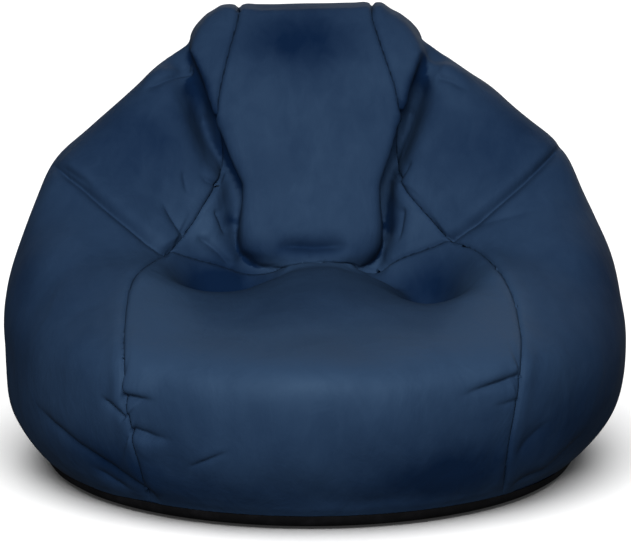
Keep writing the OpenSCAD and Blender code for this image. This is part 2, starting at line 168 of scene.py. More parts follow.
# Creases as seen from the front: line (across, height), depth, width, ridge height, ridge distance, the side
# that the ridge is on, and how much of each end fades
UP, DOWN, LEFT, RIGHT = (0, 1), (0, -1), (-1, 0), (1, 0)
CREASES = (
    (((-0.385, 0.437), (-0.376, 0.427), (-0.340, 0.402), (-0.304, 0.373), (-0.268, 0.345), (-0.239,
     0.322), (-0.217, 0.308), (-0.206, 0.303)), 0.0120, 0.0050, 0.0055, 0.014, UP, (0.15, 0.02)),
    (((-0.373, 0.432), (-0.355, 0.422), (-0.333, 0.407), (-0.316, 0.392)), 0.0045, 0.0045, 0.002, 0.008,
     UP, (0.3, 0.5)),
    (((0.365, 0.464), (0.353, 0.455), (0.332, 0.435), (0.303, 0.409), (0.267, 0.380), (0.231, 0.351),
     (0.209, 0.334), (0.191, 0.321)), 0.0120, 0.0050, 0.0050, 0.014, UP, (0.15, 0.02)),
    (((0.215, 0.333), (0.240, 0.346), (0.267, 0.354), (0.303, 0.362), (0.335, 0.368)), 0.0035, 0.0060, 0,
     0.01, UP, (0.2, 0.6)),
    (((-0.250, 0.538), (-0.236, 0.547), (-0.217, 0.556), (-0.196, 0.563), (-0.175, 0.566)), 0.0060,
     0.0060, 0.004, 0.010, UP, (0.3, 0.1)),
    (((0.175, 0.560), (0.200, 0.552), (0.225, 0.535)), 0.0045, 0.0060, 0.003, 0.010, UP, (0.1, 0.5)),
    (((-0.405, 0.100), (-0.369, 0.062), (-0.333, 0.033), (-0.282, 0.002), (-0.239, -0.027), (-0.213,
     -0.048)), 0.0065, 0.0070, 0.003, 0.012, UP, (0.3, 0.1)),
    (((-0.316, 0.006), (-0.280, -0.018), (-0.249, -0.033)), 0.0045, 0.0050, 0.002, 0.010, DOWN, (0.4,
     0.4)),
    (((0.268, -0.030), (0.300, -0.015), (0.329, -0.005), (0.360, 0.025), (0.390, 0.062)), 0.0065, 0.0080,
     0.003, 0.012, UP, (0.2, 0.4)),
    (((0.274, 0.012), (0.295, 0.040), (0.329, 0.073)), 0.0040, 0.0070, 0, 0.01, UP, (0.3, 0.4)),
    (((-0.267, 0.106), (-0.239, 0.101), (-0.215, 0.098)), 0.0075, 0.0050, 0.006, 0.011, UP, (0.05, 0.7)),
    (((-0.255, 0.058), (-0.225, 0.048), (-0.192, 0.044)), 0.0080, 0.0055, 0.006, 0.012, DOWN, (0.05,
     0.7)),
    (((-0.181, 0.004), (-0.150, 0.016), (-0.112, 0.033)), 0.0035, 0.0035, 0.002, 0.008, UP, (0.4, 0.5)),
    (((0.283, 0.134), (0.252, 0.123), (0.223, 0.114), (0.190, 0.102)), 0.0075, 0.0055, 0.006, 0.012, UP,
     (0.05, 0.7)),
    (((0.280, 0.100), (0.262, 0.094), (0.240, 0.090)), 0.0025, 0.0040, 0.002, 0.009, UP, (0.05, 0.7)),
    (((-0.300, 0.106), (-0.282, 0.091), (-0.262, 0.073)), 0.0065, 0.0048, 0.005, 0.010, UP, (0.5, 0.05)),
    (((-0.222, 0.380), (-0.205, 0.352), (-0.188, 0.326)), 0.0050, 0.0045, 0.004, 0.010, LEFT, (0.4,
     0.1)),
    (((-0.192, 0.428), (-0.188, 0.405), (-0.184, 0.385)), 0.0030, 0.0040, 0.002, 0.008, LEFT, (0.4,
     0.4)),
    (((-0.170, 0.418), (-0.156, 0.408), (-0.139, 0.400)), 0.0040, 0.0040, 0.003, 0.008, UP, (0.5, 0.05)),
    (((0.140, 0.440), (0.130, 0.424), (0.118, 0.405)), 0.0040, 0.0045, 0.003, 0.009, RIGHT, (0.4, 0.1)),
    (((-0.172, 0.329), (-0.155, 0.318), (-0.139, 0.305), (-0.118, 0.282)), 0.0050, 0.0045, 0.004, 0.010,
     UP, (0.2, 0.2)),
    (((-0.146, 0.368), (-0.137, 0.348), (-0.129, 0.325)), 0.0040, 0.0040, 0.003, 0.008, LEFT, (0.2,
     0.4)),
    (((0.128, 0.372), (0.124, 0.345), (0.118, 0.315)), 0.0040, 0.0045, 0.003, 0.009, RIGHT, (0.2, 0.4)),
    (((-0.060, 0.312), (-0.036, 0.311), (0.0, 0.308), (0.030, 0.311), (0.052, 0.313)), 0.0125, 0.0120,
     0.007, 0.020, DOWN, (0.25, 0.25)),
)
# Patches of painted shade, below 0, and painted light, above 0, in the cover's colour: centre, size, strength
PAINTED_LIGHT_AND_SHADE = (
    ((-0.145, -0.070, 0.280), (0.080, 0.080, 0.050), -2.0),
    ((0.170, -0.080, 0.280), (0.075, 0.085, 0.050), -1.4),
    ((0.010, -0.140, 0.300), (0.160, 0.080, 0.040), 0.3),
    ((-0.022, 0.090, 0.612), (0.085, 0.090, 0.042), -1.3),
    ((0.200, -0.400, 0.075), (0.150, 0.120, 0.050), -1.5),
    ((-0.100, -0.400, 0.050), (0.160, 0.120, 0.035), -0.6),
    ((-0.280, -0.320, 0.080), (0.100, 0.120, 0.050), -1.2),
    ((0.000, -0.370, 0.275), (0.270, 0.090, 0.035), 1.3),
    ((0.000, -0.440, 0.235), (0.290, 0.100, 0.045), 0.8),
    ((-0.225, -0.240, 0.275), (0.050, 0.170, 0.050), 1.9),
    ((0.245, -0.230, 0.275), (0.050, 0.170, 0.050), 1.9),
    ((-0.430, -0.030, 0.250), (0.040, 0.250, 0.160), -0.7),
    ((0.430, -0.030, 0.250), (0.050, 0.250, 0.160), -1.0),
    ((0.350, -0.200, 0.120), (0.090, 0.150, 0.060), -0.9),
    ((-0.270, 0.030, 0.470), (0.110, 0.120, 0.070), -0.8),
    ((0.270, 0.030, 0.470), (0.110, 0.120, 0.070), -0.6),
    ((-0.160, -0.030, 0.350), (0.030, 0.060, 0.040), 0.9),
    ((-0.008, -0.030, 0.326), (0.055, 0.060, 0.014), -1.0),
    ((-0.008, -0.020, 0.297), (0.110, 0.060, 0.012), 1.2),
    ((0.150, -0.030, 0.350), (0.030, 0.060, 0.040), 0.5),
)
# How much darker the painted shade in the valleys makes the cover, and how wide it is
VALLEY_SHADE, SHADE_WIDTH = 1.8, 0.028

# Cell of the even mesh, and how often it is smoothed
VOXEL = 0.0048
EVEN_PASSES = 5
# Height over which the foot of the cover is drawn in to the hem, and how far the cover stands out from it
HEM_REACH = 0.060
HEM_PROUD = 0.0006
# Thread radius, how far it lies below the surface, and how far in from the hem the base thread runs
THREAD_R = 0.0004
THREAD_SINK = 0.0010
HEM_THREAD_IN = 0.002
# How deep under the cover the liner and the beads lie, and the liner's lowest level
LINER_IN, BEADS_IN = 0.018, 0.023
LINER_FLOOR = 0.0135
# Base dish: share of the hem radius and of the hem height, from the hem inwards
DISH = ((1.0, 1.0), (0.997, 0.72), (0.985, 0.42), (0.965, 0.2), (0.935, 0.06), (0.89, 0.01), (0.8, 0.0))
DISH_TURNS = 180
DISH_ROWS = 9
# Half the gap for the zip, the cloth folded over beyond the slot, and how much lower the fold is there
ZIP_GAP = 0.014
FOLD_OVER = 0.013
FOLD_LOW = 0.4
SLOT_SPARE = 0.004
# Ripple of the base's edge, and the size of its waves
RIPPLE, RIPPLE_SCALE = 0.0012, 24
# Lengths too small to matter: one for welding doubled vertices, and one that keeps a division from failing
SMALL = 1e-6
TINY = 1e-9

BLACK = (0.0030, 0.0030, 0.0034)


def smooth(k):
    """Eased step of k between 0 and 1."""
    k = np.clip(k, 0, 1)
    return k * k * (3 - 2 * k)


def spline(x, table, column, share):
    """Table column at x, eased by averaging readings a small share of the table's length to either side."""
    xs = [row[0] for row in table]
    ys = [row[column] for row in table]
    step = (xs[-1] - xs[0]) / share
    return sum(np.interp(x + k * step, xs, ys) for k in (-1, 0, 0, 1)) / 4


def facing(p):
    """How far across and how high points p lie as seen along the line of sight from the front."""
    return np.stack([p[:, 0], p[:, 2] * math.cos(TILT) + p[:, 1] * math.sin(TILT)], axis=1)


def reach(d):
    """Distance from the core to the bag along unit directions d."""
    h = np.hypot(d[:, 0], d[:, 1]) + TINY
    c = d[:, 0] / h
    s = d[:, 1] / h
    e = -CORE[1] * s + np.sqrt(HALF_W ** 2 - (CORE[1] * c) ** 2)
    bearing = np.degrees(np.arctan2(np.abs(d[:, 0]), -d[:, 1]))
    upright = smooth((d[:, 2] - CROWN_FROM) / CROWN_SPAN)
    m = upright * (1 - smooth((d[:, 1] - CROWN_BACK) / CROWN_BACK_SPAN))
    k = spline(bearing, RISE, 1, 60) * (1 - m) + APEX * m
    v = spline(bearing, RISE, 2, 60) * (1 - m) + RISE[-1][2] * m
    above = ((h / e) ** v + (np.abs(d[:, 2]) / k) ** v) ** (-1 / v)
    # Below the core, halving finds where the ray meets the drawn-in belly
    sharp = ROUND_FRONT + (ROUND_SIDE - ROUND_FRONT) * smooth((bearing - BELLY_FROM) / BELLY_SPAN)
    near = np.zeros(len(d))
    far = np.minimum(CORE[2] / (np.abs(d[:, 2]) + SMALL), BELLY_FAR)
    for _ in range(HALVINGS):
        mid = (near + far) / 2
        inside = mid * h < e * (1 - DRAW * (mid * np.abs(d[:, 2]) / FALL) ** sharp)
        near = np.where(inside, mid, near)
        far = np.where(inside, far, mid)
    return np.where(d[:, 2] >= 0, above, near)


def angles(p):
    """Angle up from the front and to the side of points p, seen from the core, in degrees."""
    d = p - CORE
    a = np.degrees(np.arctan2(d[:, 2], -d[:, 1]))
    a = np.where(a < -90, a + 360, a)
    b = np.degrees(np.arcsin(np.clip(d[:, 0] / (np.linalg.norm(d, axis=1) + TINY), -1, 1)))
    return a, b


def coords(mesh):
    """Vertex places of a mesh or bmesh as rows."""
    if isinstance(mesh, bmesh.types.BMesh):
        return np.array([v.co[:] for v in mesh.verts])
    out = np.empty(len(mesh.vertices) * 3)
    mesh.vertices.foreach_get("co", out)
    return out.reshape(-1, 3)


def normals(bm):
    """Vertex normals of a bmesh as rows."""
    bm.normal_update()
    return np.array([v.normal[:] for v in bm.verts])


def place(bm, p):
    """Puts the vertices of a bmesh at rows p."""
    for v, q in zip(bm.verts, p):
        v.co = q


def line_distance(p, line):
    """Distance of points p to a polyline, how far along it they lie (0 to 1), and the way from the line."""
    line = np.array(line, float)
    seg = line[1:] - line[:-1]
    length = np.linalg.norm(seg, axis=1)
    before = np.concatenate([[0], np.cumsum(length)])
    best = np.full(len(p), np.inf)
    along = np.zeros(len(p))
    way = np.zeros((len(p), 3))
    for k in range(len(seg)):
        t = np.clip(((p - line[k]) @ seg[k]) / (length[k] ** 2 + SMALL ** 2), 0, 1)
        off = p - line[k] - t[:, None] * seg[k]
        d = np.linalg.norm(off, axis=1)
        near = d < best
        best[near] = d[near]
        along[near] = (before[k] + t[near] * length[k]) / before[-1]
        way[near] = off[near]
    return best, along, way


def lean(z):
    """How far the foot of the bag stands to the left at height z."""
    return -0.008 * (1 - smooth(z / 0.2))


def relax(bm, verts, times=1):
    """Smooths vertices halfway towards their neighbours."""
    for _ in range(times):
        bmesh.ops.smooth_vert(bm, verts=verts, factor=0.5, use_axis_x=True, use_axis_y=True, use_axis_z=True)


def section(h, turns):
    """One level of the headrest at height h, as points round it."""
    heights = [r[0] for r in HEADREST]
    front, mid, half, square = (float(np.interp(h, heights, [r[c] for r in HEADREST])) for c in (1, 2, 3, 4))
    # The rear of the pillow leans forward near the top
    back = 0.20 - 0.030 * float(smooth((h - 0.60) / 0.05))
    depth = (back - front) / 2
    # The rear is narrower than the face low down, and as wide above
    flare = float(smooth((h - 0.50) / 0.08))
    points = []
    for k in range(turns):
        w = 2 * math.pi * k / turns
        c = math.cos(w)
        s = math.sin(w)
        x = math.copysign(abs(c) ** (2 / square), c)
        y = math.copysign(abs(s) ** (2 / square), s)
        taper = 1.03 * (1 + (0.25 * flare - 0.24) * (y + 1) / 2)
        # Only the face turns at its corners and bulges in its middle
        face = 1 if y < 0 else 0
        corner = max(0.0, abs(x) - 0.62)
        turned = -0.02 * half * corner * face
        bulge = 0.006 * (1 - x * x) * face
        points.append((mid + half * x * taper, (front + back) / 2 + depth * y - bulge + turned, h))
    return points


def headrest():
    """Closed headrest pillow as a bmesh, lofted through its sections."""
    bm = bmesh.new()
    rows = []
    turns = 56
    steps = 5
    spans = zip(HEADREST, HEADREST[1:])
    for h in np.concatenate([np.linspace(low[0], high[0], steps)[:-1] for low, high in spans]):
        rows.append([bm.verts.new(q) for q in section(h, turns)])
    for a, b in zip(rows, rows[1:]):
        for k in range(turns):
            bm.faces.new((a[k], a[(k + 1) % turns], b[(k + 1) % turns], b[k]))
    bm.faces.new(rows[-1])
    bm.faces.new(rows[0][::-1])
    bmesh.ops.recalc_face_normals(bm, faces=bm.faces)
    return bm


def to_mesh(bm, name):
    """Writes a bmesh to a new mesh and frees it."""
    mesh = bpy.data.meshes.new(name)
    bm.to_mesh(mesh)
    bm.free()
    return mesh


def swell(p, centre, size, push):
    """Pushes points inside a soft ellipsoid round a centre."""
    r = np.sum(((p - np.array(centre)) / np.array(size)) ** 2, axis=1)
    return p + np.exp(-r)[:, None] * np.array(push)


def to_crease(p, line):
    """line_distance of points p to a line that is laid out as seen from the front."""
    return line_distance(np.column_stack([facing(p), np.zeros(len(p))]), [(*q, 0) for q in line])


def crease(p, n, seen, line, depth, width, ridge, ridge_at, side, ends):
    """Presses a crease along a line seen from the front into points p, with a soft ridge on one side."""
    d, t, way = to_crease(p, line)
    fade = smooth(t / ends[0]) * smooth((1 - t) / ends[1])
    # The bottom of the crease is rounded a little, without losing depth
    inward = depth * np.exp(-np.sqrt((d / width) ** 2 + 0.08) + 0.28)
    above = smooth(0.5 + (way[:, :2] @ np.array(side)) / 0.006)
    out = ridge * above * (d / ridge_at) * np.exp(1 - d / ridge_at)
    return p + n * (seen * fade * (out - inward))[:, None]


def body_form():
    """The bag without its headrest as a bmesh: a ball pushed out to shape, with the valleys carved."""
    bm = bmesh.new()
    bmesh.ops.create_icosphere(bm, subdivisions=7, radius=1.0)
    d = coords(bm)
    d /= np.linalg.norm(d, axis=1)[:, None]
    p = CORE + d * reach(d)[:, None]
    place(bm, p)
    n = normals(bm)
    for path in VALLEYS:
        dist, t, _ = line_distance(p, path)
        deep = np.interp(t, [row[0] for row in VALLEY_DEPTH], [row[1] for row in VALLEY_DEPTH])
        p = p - n * (deep * np.exp(-(dist / VALLEY_WIDTH) ** VALLEY_POWER))[:, None]
    for centre, size, push in SWELLS:
        p = swell(p, centre, size, push)
    place(bm, p)
    return bm


def union_form():
    """Body and headrest joined into one even mesh, as a bmesh; the mesh is kept for the next call."""
    if "even_form" in bpy.data.meshes:
        bm = bmesh.new()
        bm.from_mesh(bpy.data.meshes["even_form"])
        return bm
    bm = body_form()
    bm.from_mesh(to_mesh(headrest(), "headrest_form"))
    mesh = to_mesh(bm, "form")
    ob = bpy.data.objects.new("form", mesh)
    bpy.context.scene.collection.objects.link(ob)
    mod = ob.modifiers.new("even", "REMESH")
    mod.mode = "VOXEL"
    mod.voxel_size = VOXEL
    mod.use_smooth_shade = True
    bpy.context.view_layer.update()
    even = bpy.data.meshes.new_from_object(ob.evaluated_get(bpy.context.evaluated_depsgraph_get()))
    bpy.data.objects.remove(ob)
    bm = bmesh.new()
    bm.from_mesh(even)
    relax(bm, bm.verts, EVEN_PASSES)
    bm.to_mesh(bpy.data.meshes.new("even_form"))
    return bm


def outside(x, u, table, share):
    """How far x lies outside the left and right columns of a seam table read at u: below 0 between them."""
    return np.where(x < 0, -x - spline(u, table, 1, share), x - spline(u, table, 2, share))


def seam_field(p):
    """Signed distance of points p to the side seams, about in degrees: below 0 in the middle strip."""
    a, b = angles(p)
    behind = outside(b, a, REAR_SEAMS, 60)
    # 150 degrees to the metre brings the front seams to the scale of the rear ones
    before = outside(p[:, 0], facing(p)[:, 1], FRONT_SEAMS, 140) * 150
    k = smooth((p[:, 1] - HANDOVER) / HANDOVER_SPAN)
    return before * (1 - k) + behind * k


def mid_field(p):
    """Signed angle of points p to the seam between seat and back: below 0 on the seat."""
    return angles(p)[0] - np.interp(p[:, 0], [q[0] for q in MID], [q[1] for q in MID])


def crest_field(p):
    """Signed angle of points p to the seam between back and rear: below 0 on the front side."""
    return angles(p)[0] - CREST


def in_strip(p):
    """Whether points p are in the middle strip, or just beside it."""
    return seam_field(p) < 1.0


def cut(bm, field, where=None):
    """Cuts a bmesh along the zero line of a field of points, where another test of the points holds."""
    # Share of an edge within which its end is moved onto the line, so that no sliver is left
    snap = 0.22
    bm.verts.ensure_lookup_table()
    bm.verts.index_update()
    p = coords(bm)
    f = field(p)
    ok = where(p) if where else np.ones(len(p), bool)
    on = set()
    for e in list(bm.edges):
        i = e.verts[0].index
        j = e.verts[1].index
        if f[i] * f[j] >= 0 or not (ok[i] and ok[j]):
            continue
        t = f[i] / (f[i] - f[j])
        if t < snap or t > 1 - snap:
            v, w = (e.verts[0], e.verts[1]) if t < 0.5 else (e.verts[1], e.verts[0])
            if v not in on and w not in on:
                v.co = v.co.lerp(w.co, t if t < 0.5 else 1 - t)
                f[v.index] = 0
                on.add(v)
            continue
        on.add(bmesh.utils.edge_split(e, e.verts[0], t)[1])
    bmesh.ops.connect_verts(bm, verts=[v for v in on if v.is_valid])
    bm.verts.index_update()


def label(p):
    """Panel number of points p: 0 seat, 1 back, 2 rear, 3 left, 4 right."""
    a, b = angles(p)
    side = seam_field(p) > 0
    out = np.where(mid_field(p) < 0, 0, np.where(a < CREST, 1, 2))
    return np.where(side, np.where(b < 0, 3, 4), out)


PANELS = ("seat_panel", "back_panel", "rear_panel", "side_panel_left", "side_panel_right")


def borders(e, tag):
    """Whether edge e is on a seam or on the open edge."""
    return len(e.link_faces) < 2 or len({f[tag] for f in e.link_faces}) > 1


def tree_of(places):
    """A search tree of places."""
    tree = kdtree.KDTree(len(places))
    for k, q in enumerate(places):
        tree.insert(q, k)
    tree.balance()
    return tree


def lumps(p, scale, shift=(0, 0, 0)):
    """Smooth noise at points p, from about -1 to 1."""
    return np.array([noise.noise(Vector(q) * scale + Vector(shift)) for q in p])


class Bag:
    """The sculpted bag, made once and shared by the operators."""

    form = None

    @classmethod
    def make(cls):
        """The sculpted bag as a mesh, each face with its panel number."""
        if cls.form:
            return cls.form
        bm = union_form()
        bmesh.ops.bisect_plane(bm, geom=bm.verts[:] + bm.edges[:] + bm.faces[:], plane_co=(0, 0, HEM_Z),
                               plane_no=(0, 0, -1), clear_outer=True)
        cls.fit_hem(bm)
        cut(bm, seam_field)
        cut(bm, mid_field, in_strip)
        cut(bm, crest_field, in_strip)
        bm.faces.ensure_lookup_table()
        centre = np.array([f.calc_center_median()[:] for f in bm.faces])
        tag = bm.faces.layers.int.new("panel")
        for f, k in zip(bm.faces, label(centre)):
            f[tag] = int(k)
        near = {v for e in bm.edges if borders(e, tag) for v in e.verts}
        cls.even_seams(bm, tag, near)
        cls.refine(bm, [v.co for v in near])
        cls.sculpt(bm, tag)
        cls.form = to_mesh(bm, "bag_form")
        return cls.form

    @staticmethod
    def fit_hem(bm):
        """Draws the foot of the cover to the round hem of the base."""
        p = coords(bm)
        w = np.arctan2(p[:, 1] - HEM_Y, p[:, 0])
        r = np.hypot(p[:, 0], p[:, 1] - HEM_Y)
        edge = np.array([v.is_boundary for v in bm.verts])
        order = np.argsort(w[edge])
        at = w[edge][order]
        size = r[edge][order]
        # Three rounds of the edge, so that the reading has no break where the angle starts again
        at = np.concatenate([at - 2 * np.pi, at, at + 2 * np.pi])
        want = HEM_R + HEM_PROUD - np.interp(w, at, np.tile(size, 3))
        r = r + want * smooth((HEM_Z + HEM_REACH - p[:, 2]) / HEM_REACH)
        p[:, 0] = r * np.cos(w) + lean(p[:, 2])
        p[:, 1] = r * np.sin(w) + HEM_Y
        place(bm, p)

    @staticmethod
    def even_seams(bm, tag, near):
        """Evens the seam lines, and the rows of cloth beside them."""
        beside = list({w for v in near for e in v.link_edges for w in e.verts} - near)
        links = {v: [e.other_vert(v) for e in v.link_edges if borders(e, tag)] for v in near}
        for _ in range(12):
            to = {v: (v.co + (w[0].co + w[1].co) / 2) / 2 for v, w in links.items()
                  if len(w) == 2 and not v.is_boundary}
            for v, q in to.items():
                v.co = q
            relax(bm, beside)

    @staticmethod
    def refine(bm, near):
        """Splits the faces round the seams and creases once, so that grooves can follow them."""
        tree = tree_of(near)
        bm.verts.index_update()
        p = coords(bm)
        creased = np.zeros(len(p), bool)
        for line, *_ in CREASES:
            creased |= to_crease(p, line)[0] < 0.016
        creased &= p[:, 1] < 0.2
        edges = [e for e in bm.edges if creased[e.verts[0].index] and creased[e.verts[1].index]
                 or tree.find((e.verts[0].co + e.verts[1].co) / 2)[2] < 0.014]
        bmesh.ops.subdivide_edges(bm, edges=edges, cuts=1, use_grid_fill=True, smooth=0.0)
        bmesh.ops.triangulate(bm, faces=[f for f in bm.faces if len(f.verts) > 4])

    @staticmethod
    def sculpt(bm, tag):
        """Grooves along the seams, creases, puckers and soft unevenness."""
        soft = bpy.context.scene.bag_soft
        seam = [v for v in bm.verts if len({f[tag] for f in v.link_faces}) > 1 or v.is_boundary]
        tree = tree_of([v.co for v in seam])
        fixed = set(seam)
        relax(bm, [v for v in bm.verts if v not in fixed and tree.find(v.co)[2] < 0.012], 4)
        p = coords(bm)
        n = normals(bm)
        dist = np.array([tree.find(q)[2] for q in p])
        wave = lumps(p, 26)
        slow = lumps(p, 6, (3, 1, 7))
        mid = lumps(p, 14, (9, 4, 2))
        out = p - n * (soft.groove * np.exp(-(dist / 0.0030) ** 2))[:, None]
        # The cloth puckers in a low roll beside the groove
        out = out + n * (0.0014 * np.exp(-((dist - 0.013) / 0.010) ** 2) * (1 + 1.3 * wave))[:, None]
        out = out + n * (soft.uneven * slow + 0.0026 * mid * smooth(dist / 0.05))[:, None]
        # The hem stays true to the base
        out = p + (out - p) * smooth((p[:, 2] - HEM_Z) / 0.03)[:, None]
        # Creases are only pressed where the surface faces the front
        toward = n @ np.array([0, -math.cos(TILT), math.sin(TILT)])
        seen = smooth((toward + 0.05) / 0.25) * smooth((0.22 - p[:, 1]) / 0.06)
        for line, *rest in CREASES:
            out = crease(out, n, seen, line, *rest)
        place(bm, out)
        # Painted light and shade, kept on each vertex for the cover's colour
        painted_light = bm.verts.layers.float.new("tone_and_painted_light")
        for v, k in zip(bm.verts, painted_light_of(p, n)):
            v[painted_light] = k


def painted_light_of(p, n):
    """Painted light and shade at points p with normals n: painted shade below 0, painted light above."""
    tone_and_painted_light = np.zeros(len(p))
    for centre, size, strength in PAINTED_LIGHT_AND_SHADE:
        tone_and_painted_light += strength * np.exp(-np.sum(((p - np.array(centre)) / np.array(size)) ** 2, axis=1))
    # Painted shade along the valleys, strongest on their steep walls
    for path in VALLEYS:
        steep = smooth((0.3 - n[:, 2]) / 0.4 + 0.5)
        tone_and_painted_light -= VALLEY_SHADE * np.exp(-(line_distance(p, path)[0] / SHADE_WIDTH) ** 2) * steep
    return tone_and_painted_light


def panel_object(name):
    """One cover panel: its part of the sculpted bag with the edge turned in as seam allowance."""
    allowance = bpy.context.scene.bag_soft.allowance
    bm = bmesh.new()
    bm.from_mesh(Bag.make())
    tag = bm.faces.layers.int["panel"]
    number = PANELS.index(name)
    bmesh.ops.delete(bm, geom=[f for f in bm.faces if f[tag] != number], context="FACES")
    bm.normal_update()
    inward = {v: v.normal.copy() for v in bm.verts if v.is_boundary}
    made = bmesh.ops.extrude_edge_only(bm, edges=[e for e in bm.edges if e.is_boundary])
    for v in [g for g in made["geom"] if isinstance(g, bmesh.types.BMVert)]:
        ends = [e.other_vert(v) for e in v.link_edges]
        was = min((w for w in ends if w in inward), key=lambda w: (w.co - v.co).length)
        v.co = was.co - inward[was] * allowance
    bmesh.ops.recalc_face_normals(bm, faces=bm.faces)
    return add_object(name + "_cloth", bm)


class Sock:
    """A shader socket that can be added, multiplied and so on."""

    def __init__(self, shade, socket):
        self.shade, self.socket = shade, socket

    def _math(self, kind, other, flip=False):
        pair = (other, self) if flip else (self, other)
        return self.shade.node("ShaderNodeMath", {"operation": kind}, {0: pair[0], 1: pair[1]})

    def __add__(self, other):
        return self._math("ADD", other)

    __radd__ = __add__

    def __sub__(self, other):
        return self._math("SUBTRACT", other)

    def __rsub__(self, other):
        return self._math("SUBTRACT", other, True)

    def __mul__(self, other):
        return self._math("MULTIPLY", other)

    __rmul__ = __mul__

    def out(self, name):
        """Another output of the same node."""
        return Sock(self.shade, self.socket.node.outputs[name])


class Shade:
    """A material's node tree, with one method that makes every node."""

    def __init__(self, name, **constants):
        self.material = bpy.data.materials.new(name)
        self.material.use_nodes = True
        self.tree = self.material.node_tree
        self.bsdf = self.tree.nodes["Principled BSDF"]
        for key, value in constants.items():
            self.bsdf.inputs[key.replace("_", " ").title().replace("Ior", "IOR")].default_value = value

    def node(self, kind, settings=None, values=None):
        """Makes a node, sets its settings and sockets, and returns its first output."""
        n = self.tree.nodes.new(kind)
        for key, value in (settings or {}).items():
            setattr(n, key, value)
        for key, value in (values or {}).items():
            if isinstance(value, Sock):
                self.tree.links.new(value.socket, n.inputs[key])
            else:
                n.inputs[key].default_value = value
        return Sock(self, n.outputs[0])

    def place(self):
        """Object coordinates."""
        return self.node("ShaderNodeTexCoord").out("Object")

    def noise(self, at, scale, detail=2.0, rough=0.5, distortion=0.0):
        """Noise value at a place."""
        values = {"Vector": at, "Scale": scale, "Detail": detail, "Roughness": rough}
        return self.node("ShaderNodeTexNoise", {}, {**values, "Distortion": distortion})

    def weave(self, at, scale, direction):
        """Threads of a weave that run one way."""
        return self.node("ShaderNodeTexWave", {"bands_direction": direction}, {"Vector": at, "Scale": scale})

    def stretch(self, at, scale):
        """A place scaled along each axis."""
        return self.node("ShaderNodeVectorMath", {"operation": "MULTIPLY"}, {0: at, 1: scale})

    def ramp(self, value, low, high, to_low=0.0, to_high=1.0):
        """A value mapped from one range to another, kept inside it."""
        values = {0: value, 1: low, 2: high, 3: to_low, 4: to_high}
        return self.node("ShaderNodeMapRange", {"clamp": True}, values)

    def mix(self, k, a, b):
        """Colour between a and b."""
        return self.node("ShaderNodeMix", {"data_type": "RGBA"}, {0: k, 6: colour(a), 7: colour(b)}).out(2)

    def bump(self, height, strength, distance, under=None):
        """Normal roughened by a height."""
        values = {"Height": height, "Strength": strength, "Distance": distance}
        if under:
            values["Normal"] = under
        return self.node("ShaderNodeBump", {}, values)

    def use(self, **inputs):
        """Links outputs to the shader and returns the material."""
        for key, value in inputs.items():
            self.tree.links.new(value.socket, self.bsdf.inputs[key.replace("_", " ").title()])
        return self.material


def colour(c):
    """A colour with its alpha, or a socket as it is."""
    return c if isinstance(c, Sock) or len(c) == 4 else (*c, 1.0)


def suede():
    """Navy brushed cloth: random light and dark patches of tone with painted light and shade mixed in, and a
    fine grain.
    """
    s = Shade("navy_suede", roughness=0.70, specular_ior_level=0.22, specular_tint=(0.56, 0.82, 1.0, 1))
    at = s.place()
    patch = s.noise(at, 9.0, 3.0, 0.55, 0.4)
    streak = s.noise(s.stretch(at, (1.0, 1.0, 0.45)), 42.0, 3.0, 0.6, 0.6)
    grain = s.noise(at, 900.0, 2.0, 0.6)
    # Painted light and shade laid on the vertices by the sculpt, added to the pile's random tone
    painted_light = s.node("ShaderNodeAttribute", {"attribute_name": "tone_and_painted_light"}).out("Fac")
    tone_and_painted_light = s.ramp(patch * 0.26 + streak * 0.18 + grain * 0.08 + painted_light * 0.30, -0.10, 0.56)
    # The dark colour also serves as painted shade and the light one as painted light
    colours = bpy.context.scene.bag_soft
    dark = tuple(colours.dark_pile_and_painted_shade)
    light = tuple(colours.light_pile_and_painted_light)
    fine = s.bump(s.noise(at, 1200.0, 2.0, 0.6), 0.2, 0.0001)
    soft = s.bump(s.noise(at, 45.0, 4.0, 0.55, 0.5), 0.35, 0.0015, fine)
    wrinkled = s.bump(s.noise(s.stretch(at, (1.0, 1.0, 0.55)), 17.0, 4.0, 0.6, 0.6), 0.5, 0.005, soft)
    return s.use(base_color=s.mix(tone_and_painted_light, dark, light), roughness=s.ramp(tone_and_painted_light, 0, 1, 0.95, 0.64), normal=wrinkled)


def base_weave():
    """Black base cloth: a plain weave with a little dust."""
    s = Shade("base_weave", roughness=0.95, specular_ior_level=0.05)
    at = s.place()
    warp = s.weave(at, 260.0, "X")
    weft = s.weave(at, 260.0, "Y")
    weave = (warp * weft) + (1.0 - warp) * (1.0 - weft)
    dust = s.ramp(s.noise(at, 30.0, 4.0, 0.6), 0.45, 0.75)
    return s.use(base_color=s.mix(dust * 0.6 + weave * 0.2, BLACK, (0.010, 0.010, 0.012)),
                 roughness=s.ramp(dust, 0, 1, 0.78, 0.9), normal=s.bump(weave, 0.3, 0.0004))


def woven(name, dark, light, scale):
    """A light plain weave for tape, ribbon and lining."""
    s = Shade(name, roughness=0.7)
    at = s.place()
    warp = s.weave(at, scale, "X")
    weft = s.weave(at, scale, "Y")
    weave = warp * 0.5 + weft * 0.5
    soil = s.noise(at, 24.0, 3.0)
    return s.use(base_color=s.mix(weave * 0.6 + soil * 0.4, dark, light), normal=s.bump(weave, 0.3, 0.0003))


def moulded(name, dark, light, rough=0.45, metallic=0.0):
    """Moulded plastic or painted metal with fine wear."""
    s = Shade(name, metallic=metallic)
    at = s.place()
    wear = s.noise(at, 220.0, 4.0, 0.6)
    return s.use(base_color=s.mix(s.ramp(wear, 0.4, 0.7), dark, light),
                 roughness=s.ramp(wear, 0.3, 0.7, rough, rough + 0.2),
                 normal=s.bump(s.noise(at, 900.0, 2.0), 0.1, 0.0002))


